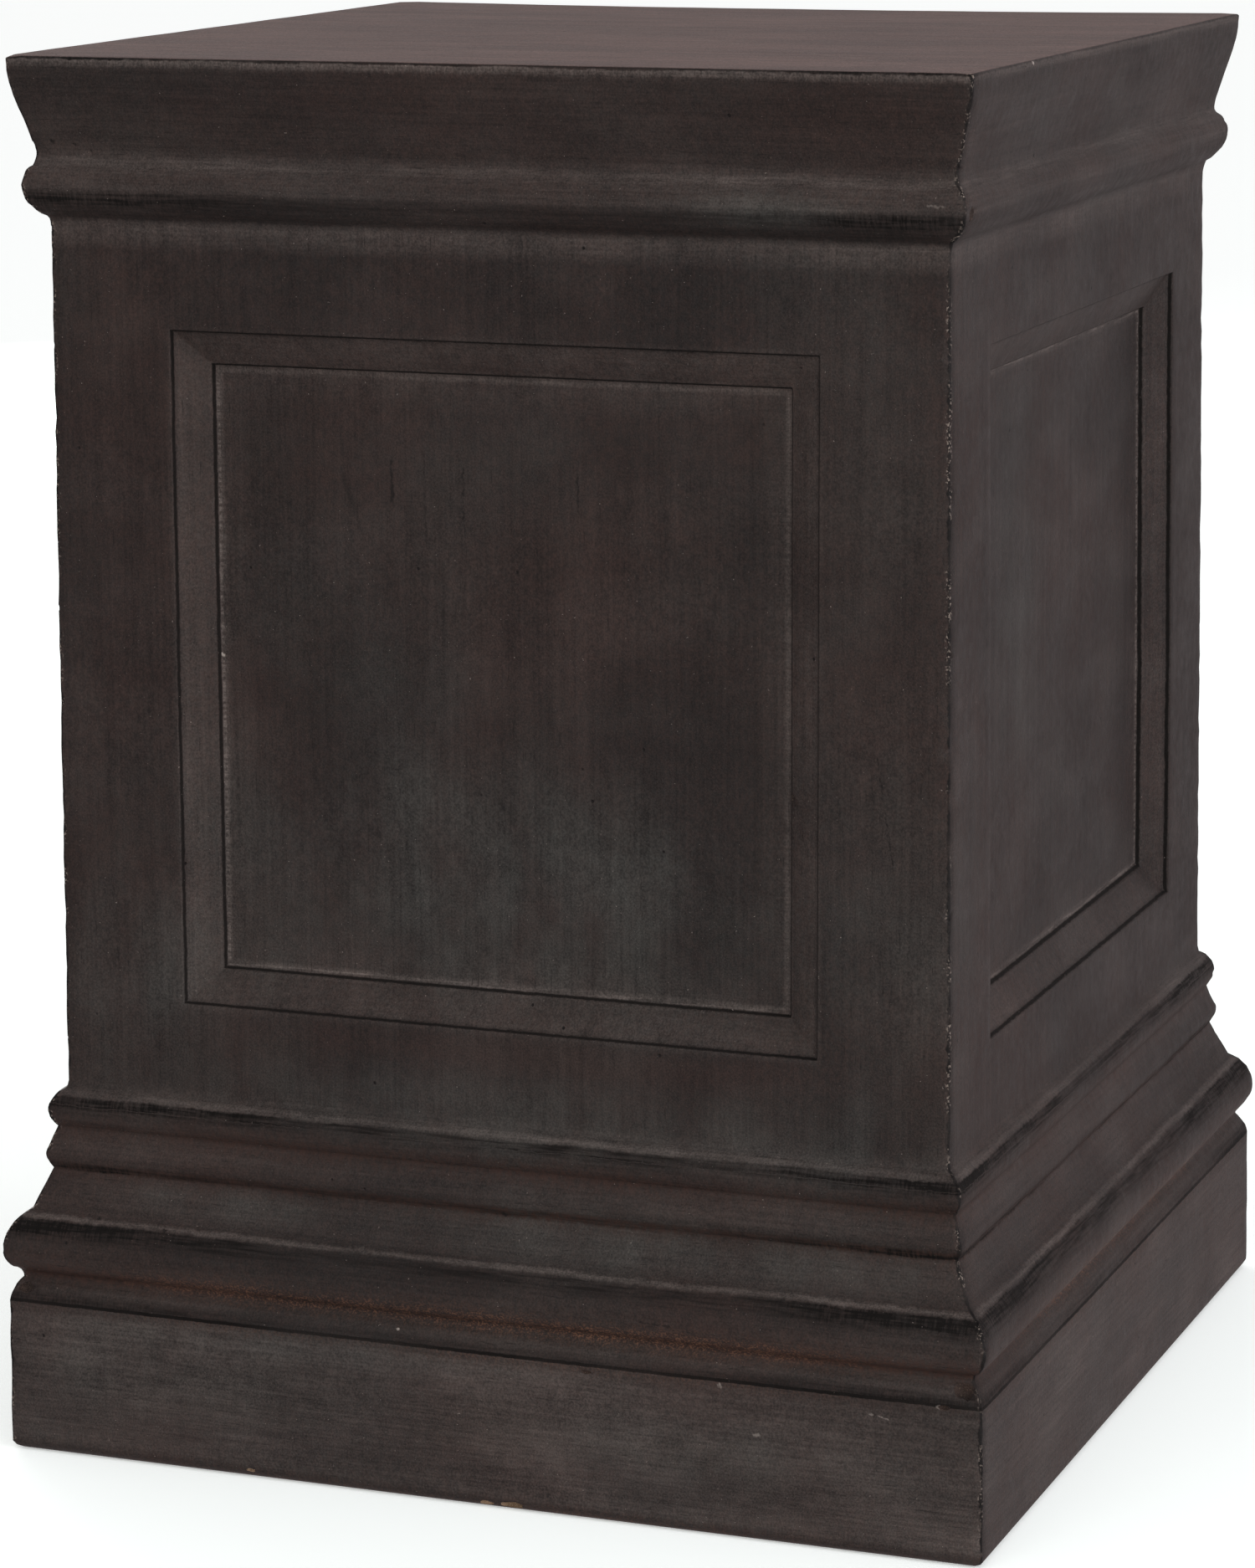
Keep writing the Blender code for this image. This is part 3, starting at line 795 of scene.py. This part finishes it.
# A band of painted shade, some millimetres wide, darkens the right-hand side of each corner
shade_beside_seam = add_node(tree, RANGE, {"Value": off_seam, "From Min": 8.0, "From Max": 2.0})
shade_beside_seam = add_node(tree, MATH, {0: shade_beside_seam, 1: on_x_side}, operation="MULTIPLY")
shade_beside_seam = add_node(tree, MATH, {0: shade_beside_seam, 1: seam_gaps}, operation="MULTIPLY")
shade_beside_seam = add_node(tree, MATH, {0: shade_beside_seam, 1: 0.5}, operation="MULTIPLY")
seam_and_corner_shade = add_node(tree, MATH, {0: seam_and_corner_shade, 1: shade_beside_seam}, operation="MAXIMUM")
seam_crumbs = add_node(
    tree, MATH,
    {0: add_node(tree, MATH, {0: by_seam, 1: crumbs}, operation="MULTIPLY"), 1: crumb_groups},
    operation="MULTIPLY",
)

# Air bubbles in the clay opened where it was rubbed down
BUBBLE_SPACING_MM = 26.0
bubbles = add_node(
    tree, "ShaderNodeTexVoronoi", {"Vector": place, "Scale": 1 / BUBBLE_SPACING_MM, "Randomness": 1.0},
).outputs["Distance"]
bubble_pit = add_node(tree, RANGE, {"Value": bubbles, "From Min": 0.040, "From Max": 0.020})

# %% [markdown]
# A band says how much dust can lie at a level, and the brush's smears say where it does. The
# bands' pale lines on the tops of the toruses, the bead and the lip are painted highlights. Round
# the lip and at the ground the brush went up and down, and left a comb of short strokes.

# %% Dust and painted highlights
MIDDLE_MM, COMB_START_MM, COMB_FULL_MM = 382.0, 366.0, 376.0
dust_and_highlight_smear = add_up(tree, 0.65, ((smears, 0.35),))
off_edge = add_node(tree, MATH, {0: z_mm, 1: MIDDLE_MM}, operation="SUBTRACT")
off_edge = add_node(tree, MATH, {0: off_edge}, operation="ABSOLUTE")
by_edge = add_node(
    tree, RANGE, {"Value": off_edge, "From Min": COMB_START_MM, "From Max": COMB_FULL_MM}
)
comb = add_up(tree, 0.7, ((hatch, 0.4),))
dust_and_highlight_smear = add_node(tree, MIX, {0: by_edge, 2: dust_and_highlight_smear, 3: comb})
side_dust_and_highlight = add_up(tree, 1.0, ((on_x_side, -0.1),))
dust_and_highlight_smear = add_node(tree, MATH, {0: dust_and_highlight_smear, 1: side_dust_and_highlight}, operation="MULTIPLY")
dust_and_highlight_smear = add_node(tree, MATH, {0: dust_and_highlight_smear, 1: off_top}, operation="MULTIPLY")
dust_and_highlight_amount = add_node(tree, MATH, {0: dust_and_highlight_band, 1: dust_and_highlight_smear}, operation="MULTIPLY")
dust_and_highlight_place = add_up(tree, 0.8, ((stretches, 0.4),))
# The cover lays dust, and painted highlights on the torus tops, the bead and the lip
dust_and_highlight_cover = add_node(
    tree, MATH, {0: dust_and_highlight_amount, 1: dust_and_highlight_place}, operation="MULTIPLY", use_clamp=True
)
print("nodes with the dust:", len(tree.nodes))

# %% [markdown]
# Soot, with the painted shade that its band also carries, fills the undersides in long streaks,
# and towards the corners in short upright dabs. On the cap the x sides have almost none of it.

# %% Soot and painted shade
CAP_FOOT_MM = (640.0, 650.0)
soot_and_shade_place = add_up(tree, 0.45, ((stretches, 0.35), (to_corner, 0.30)))
corner_dabs = add_node(tree, MATH, {0: hatch, 1: to_corner}, operation="MULTIPLY")
soot_and_shade_marks = add_up(tree, 0.35, ((smears, 0.75), (corner_dabs, 0.55)))
soot_and_shade_marks = add_node(tree, MATH, {0: soot_and_shade_marks, 1: soot_and_shade_place}, operation="MULTIPLY")
soot_and_shade_marks = add_node(tree, MATH, {0: soot_and_shade_marks, 1: off_top}, operation="MULTIPLY")
in_cap = add_node(
    tree, RANGE, {"Value": z_mm, "From Min": CAP_FOOT_MM[0], "From Max": CAP_FOOT_MM[1]}
)
cap_side_less_shade = add_node(tree, MATH, {0: in_cap, 1: on_x_side}, operation="MULTIPLY")
cap_side_less_shade = add_up(tree, 1.0, ((cap_side_less_shade, -0.85),))
soot_and_shade_marks = add_node(tree, MATH, {0: soot_and_shade_marks, 1: cap_side_less_shade}, operation="MULTIPLY")
# The cover lays soot, and painted shade under the mouldings and in the creases
soot_and_shade_cover = add_node(tree, MATH, {0: soot_and_shade_band, 1: soot_and_shade_marks}, operation="MULTIPLY", use_clamp=True)
print("nodes with the soot:", len(tree.nodes))

# %% [markdown]
# Thin lines about a millimetre wide are painted where two surfaces meet. A black one lies on the
# block's arris, and two dark ones of painted shade run round each panel, darkest on the right and
# above, where the steps are turned from the light. Beside the inner one a pale line is a painted
# highlight, most on the left and below.

# %% Thin lines on the arrises
BLOCK_LINE_MM = 86.0
# Distance of the panel's lines from its outer edge, in mm
OUTER_LINE_MM, INNER_LINE_MM, HIGHLIGHT_LINE_MM = 0.6, 18.9, 20.6
LINE_EDGE_MM = 0.35
# Where a panel's right-hand and upper steps begin, whose lines take more painted shade
RIGHT_STEP_MM, HEAD_STEP_MM = (150.0, 160.0), (590.0, 600.0)


def thin_line(tree, value, middle, half_width, strength):
    """A line where value is near middle: full strength inside half_width, then a crisp edge."""
    off = add_node(tree, MATH, {0: value, 1: middle}, operation="SUBTRACT")
    off = add_node(tree, MATH, {0: off}, operation="ABSOLUTE")
    line = add_node(
        tree, RANGE, {"Value": off, "From Min": half_width + LINE_EDGE_MM, "From Max": half_width}
    )
    return add_node(tree, MATH, {0: line, 1: strength}, operation="MULTIPLY")


wavy_level = add_up(tree, z_mm, ((short_wave, 0.5),))
arris_dark = add_up(tree, 0.72, ((stretches, 0.25),))
at_right = add_node(
    tree, RANGE, {"Value": along, "From Min": RIGHT_STEP_MM[0], "From Max": RIGHT_STEP_MM[1]}
)
at_head = add_node(
    tree, RANGE, {"Value": z_mm, "From Min": HEAD_STEP_MM[0], "From Max": HEAD_STEP_MM[1]}
)
shaded_right_or_head = add_node(tree, MATH, {0: at_right, 1: at_head}, operation="MAXIMUM")
# The dark lines round the panel are painted shade, a little darker on the right and above
shade_line_dark = add_up(tree, 0.88, ((shaded_right_or_head, 0.08),))
near_line = add_up(tree, straight_into, ((short_wave, 0.3),))
for line in (
    thin_line(tree, wavy_level, BLOCK_LINE_MM, 0.8, arris_dark),
    thin_line(tree, near_line, OUTER_LINE_MM, 0.28, shade_line_dark),
    thin_line(tree, near_line, INNER_LINE_MM, 0.34, shade_line_dark),
):
    soot_and_shade_cover = add_node(tree, MATH, {0: soot_and_shade_cover, 1: line}, operation="MAXIMUM")
# The pale line beside the inner step is a painted highlight, weak on the right and upper steps
lit_left_or_low = add_up(tree, 1.0, ((shaded_right_or_head, -0.8),))
lit_left_or_low = add_node(tree, MATH, {0: on_x_side, 1: lit_left_or_low}, operation="MAXIMUM")
highlight_ragged = add_up(tree, 0.10, ((smears, 0.38),))
highlight_ragged = add_node(tree, MATH, {0: highlight_ragged, 1: lit_left_or_low}, operation="MULTIPLY")
painted_highlight_line = thin_line(tree, near_line, HIGHLIGHT_LINE_MM, 0.7, highlight_ragged)
dust_and_highlight_cover = add_node(tree, MATH, {0: dust_and_highlight_cover, 1: painted_highlight_line}, operation="MAXIMUM")
print("nodes with the lines:", len(tree.nodes))

# %% [markdown]
# Rust colours the hollows a dull red brown. Only in the crevice over the block has it bloomed in
# orange grains, and not at the corners. The top has a thin pale film, partly dust and partly
# painted light from above.

# %% Rust, specks, and the film and painted light on the top
CREVICE_MM = (118.0, 108.0)
rust_smear = add_up(tree, 0.5, ((stretches, 0.4),))
rust_smear = add_node(tree, MATH, {0: rust_smear, 1: off_top}, operation="MULTIPLY")
rust_mottle = add_up(tree, 0.45, ((colour_grain, 0.9),))
rust_smear = add_node(tree, MATH, {0: rust_smear, 1: rust_mottle}, operation="MULTIPLY")
rust_cover = add_node(tree, MATH, {0: rust_band, 1: rust_smear}, operation="MULTIPLY", use_clamp=True)
speck_cover = add_node(tree, MATH, {0: specks, 1: 0.30}, operation="MULTIPLY")
scratch_cover = add_node(tree, MATH, {0: scratches, 1: 0.55}, operation="MULTIPLY")
crumb_cover = add_node(tree, MATH, {0: seam_crumbs, 1: 0.40}, operation="MULTIPLY")
in_crevice = add_node(
    tree, RANGE, {"Value": z_mm, "From Min": CREVICE_MM[0], "From Max": CREVICE_MM[1]}
)
bloom = add_node(tree, MATH, {0: 1.0, 1: to_corner}, operation="SUBTRACT")
bloom = add_node(tree, MATH, {0: bloom, 1: rust_cover}, operation="MULTIPLY")
bloom = add_node(tree, MATH, {0: bloom, 1: in_crevice}, operation="MULTIPLY")
rust_grain = add_node(
    tree, MATH, {0: bloom, 1: blotches(tree, place, (1.1, 1.1, 1.1), 0.50, 0.57, 2.0)},
    operation="MULTIPLY",
)
# The pale film on the top is partly dust and partly painted light from above
film = add_up(tree, 0.35, ((smears, 0.07),))
top_film_and_light = add_node(tree, MATH, {0: on_top, 1: film}, operation="MULTIPLY")
print("nodes so far:", len(tree.nodes))

# %% [markdown]
# Now the washes are laid one over another, as the painter did it: first the brown-black coat with
# its brush marks, then blue-grey, dust, rust and soot, and last the seam and its crumbs. The dust
# also lays the painted highlights, the soot and the seam the painted shade, and the film on the top
# is partly painted light.

# %% Lay the washes
LEAD_BLACK, LEAD_BROWN = "#1b1817", "#281e1b"
brown_sum = add_up(tree, placed_brown, ((colour_grain, 0.45), (brown_cloud, 0.5)))
coat_colour = add_node(
    tree, MIX, {0: brown_sum, 6: srgb(LEAD_BLACK), 7: srgb(LEAD_BROWN)}, data_type="RGBA"
)
# How light the coat is: the brush left more of it in some marks than in others
BRUSH_MARKS = ((hairs, 0.32), (cloudy, 0.34), (strokes, 0.16), (grain, 0.60), (fine_mottle, 0.30))
mark_sum = add_up(tree, 0.12, BRUSH_MARKS)
scuff_cover = add_up(tree, 0.04, ((on_x_side, 0.05),))
scuff_cover = add_node(tree, MATH, {0: scuffs, 1: scuff_cover}, operation="MULTIPLY")
# The dust wash also lays painted highlights, the soot and seam washes lay painted shade too, and the pale
# film on the top is partly painted light
WASHES = (
    ("scuffs", "#6f6d6a", scuff_cover),
    ("blue-grey wash", "#373a38", faint_blue),
    ("pale film on the top", "#85746f", top_film_and_light),
    ("dust", "#6d6763", dust_and_highlight_cover),
    ("rust", "#35251f", rust_cover),
    ("rust grains", "#654a39", rust_grain),
    ("soot", "#070605", soot_and_shade_cover),
    ("scratches", "#0b0908", scratch_cover),
    ("placed scratches", "#0a0807", placed_scratches),
    ("placed scuffs", "#8d8882", placed_scuffs),
    ("pale specks", "#a79f98", speck_cover),
    ("pits", "#080606", bubble_pit),
    ("seam", "#060505", seam_and_corner_shade),
    ("crumbs", "#a79d92", crumb_cover),
)
for name, code, cover in WASHES:
    coat_colour = add_node(tree, MIX, {0: cover, 6: coat_colour, 7: srgb(code)}, data_type="RGBA")
    coat_colour.label = name
    if name == "dust":
        coat_colour = add_node(tree, VECTOR, {0: coat_colour, "Scale": mark_sum}, operation="SCALE")
tree.links.new(coat_colour.outputs[2], coat_shader.inputs["Base Color"])
print("washes", len(WASHES), "over", LEAD_BLACK, "and", LEAD_BROWN)

# %% [markdown]
# An old lead wash is satin to matt. Where it is thin it shines a little more, and dust, soot and the
# film on the top are matt, with the painted highlights and shade that they carry. Its relief is
# slight: grit of about a millimetre, soft swells from rubbing down, crumbs and pits.

# %% Sheen and relief of the paint
MATT_PARTS = (
    (fine_mottle, 0.12), (cloudy, 0.08), (soot_and_shade_cover, 0.35), (dust_and_highlight_cover, 0.25), (top_film_and_light, 0.30)
)
sheen = add_up(tree, 0.50, MATT_PARTS)
tree.links.new(sheen.outputs[0], coat_shader.inputs["Roughness"])
coat_shader.inputs["IOR"].default_value = 1.45
coat_shader.inputs["Specular IOR Level"].default_value = 0.22

grit = blotches(tree, place, (0.9, 0.9, 0.9), 0.2, 0.8, 2.0)
swells = blotches(tree, place, (15.0, 15.0, 18.0), 0.2, 0.8, 2.0)
# Heights in mm
relief = add_up(tree, 0.0, ((grit, 0.08), (swells, 0.30), (crumbs, 0.05), (bubble_pit, -0.5)))
bump = add_node(tree, "ShaderNodeBump", {"Height": relief, "Distance": MM, "Strength": 1.0})
tree.links.new(bump.outputs["Normal"], coat_shader.inputs["Normal"])
print("nodes in the paint:", len(tree.nodes))

# %% [markdown]
# The cavity was never painted. It is the bare fibre clay, a pale tan mineral mass with short glass
# fibres in it, and fresh chips show the same. Old breaks have gone dark brown with dirt.

# %% Raw and weathered clay
for slot, pale, dark, speck in (
    (RAW, "#8d7863", "#65533f", "#a99a86"), (WEATHERED, "#33251e", "#150f0c", "#4b3f35")
):
    clay = casting.data.materials[slot]
    clay.use_nodes = True
    clay_tree = clay.node_tree
    clay_shader = clay_tree.nodes["Principled BSDF"]
    clay_place = add_node(
        clay_tree, VECTOR,
        {0: add_node(clay_tree, "ShaderNodeTexCoord").outputs["Object"], "Scale": 1 / MM},
        operation="SCALE",
    )
    lumps = blotches(clay_tree, clay_place, (14.0, 14.0, 14.0), 0.35, 0.65, 5.0)
    grains = blotches(clay_tree, clay_place, (1.2, 1.2, 1.2), 0.35, 0.65, 3.0)
    fibres = blotches(clay_tree, clay_place, (0.8, 6.0, 0.8), 0.58, 0.64, 2.0)
    clay_colour = add_node(
        clay_tree, MIX, {0: lumps, 6: srgb(dark), 7: srgb(pale)}, data_type="RGBA"
    )
    fibre_cover = add_node(clay_tree, MATH, {0: fibres, 1: 0.5}, operation="MULTIPLY")
    clay_colour = add_node(
        clay_tree, MIX, {0: fibre_cover, 6: clay_colour, 7: srgb(speck)}, data_type="RGBA"
    )
    clay_tree.links.new(clay_colour.outputs[2], clay_shader.inputs["Base Color"])
    clay_shader.inputs["Roughness"].default_value = 0.85
    clay_relief = add_node(clay_tree, MATH, {0: grains, 1: lumps}, operation="ADD")
    clay_bump = add_node(
        clay_tree, "ShaderNodeBump", {"Height": clay_relief, "Distance": 0.4 * MM, "Strength": 1.0}
    )
    clay_tree.links.new(clay_bump.outputs["Normal"], clay_shader.inputs["Normal"])
    print(clay.name, "has", len(clay_tree.nodes), "nodes")

# %% [markdown]
# Last, the casting takes the imported solid's place, which keeps working unseen for collisions,
# hidden.

# %% Smooth, replace and finish
bpy.ops.object.select_all(action="DESELECT")
casting.select_set(True)
bpy.context.view_layer.objects.active = casting
bpy.ops.object.shade_smooth_by_angle(angle=math.radians(32))

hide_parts("plinth")
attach(casting, "root")
